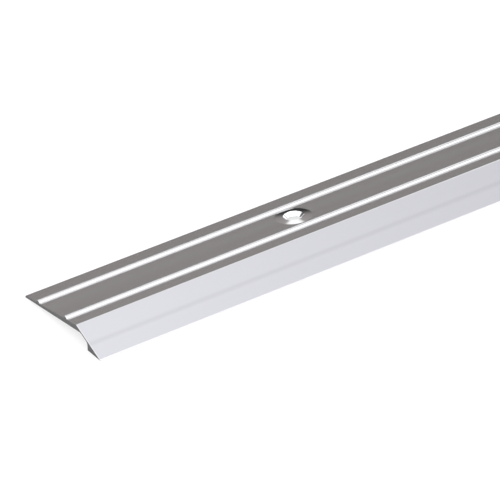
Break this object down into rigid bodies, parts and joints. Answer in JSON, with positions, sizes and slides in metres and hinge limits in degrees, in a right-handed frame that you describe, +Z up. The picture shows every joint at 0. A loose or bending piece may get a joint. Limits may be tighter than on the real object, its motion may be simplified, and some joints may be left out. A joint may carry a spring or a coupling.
{
  "type": "threshold strip",
  "caption": "Aluminium threshold strip with a ribbed flange, a sloping ramp and countersunk screw holes, for covering a step or joint between two floor coverings.",
  "frame": {"origin": "middle of the strip's length and width, on the floor that it lies on", "axes": "+X along the strip, -Y towards the ramp's tip, +Z up"},
  "size_m": [0.9, 0.038, 0.0055],
  "materials": {
    "anodised_aluminium": "satin anodised, with fine lengthwise extrusion lines"
  },
  "bodies": {
    "root": {"profile": "anodised_aluminium"}
  },
  "joints": []
}
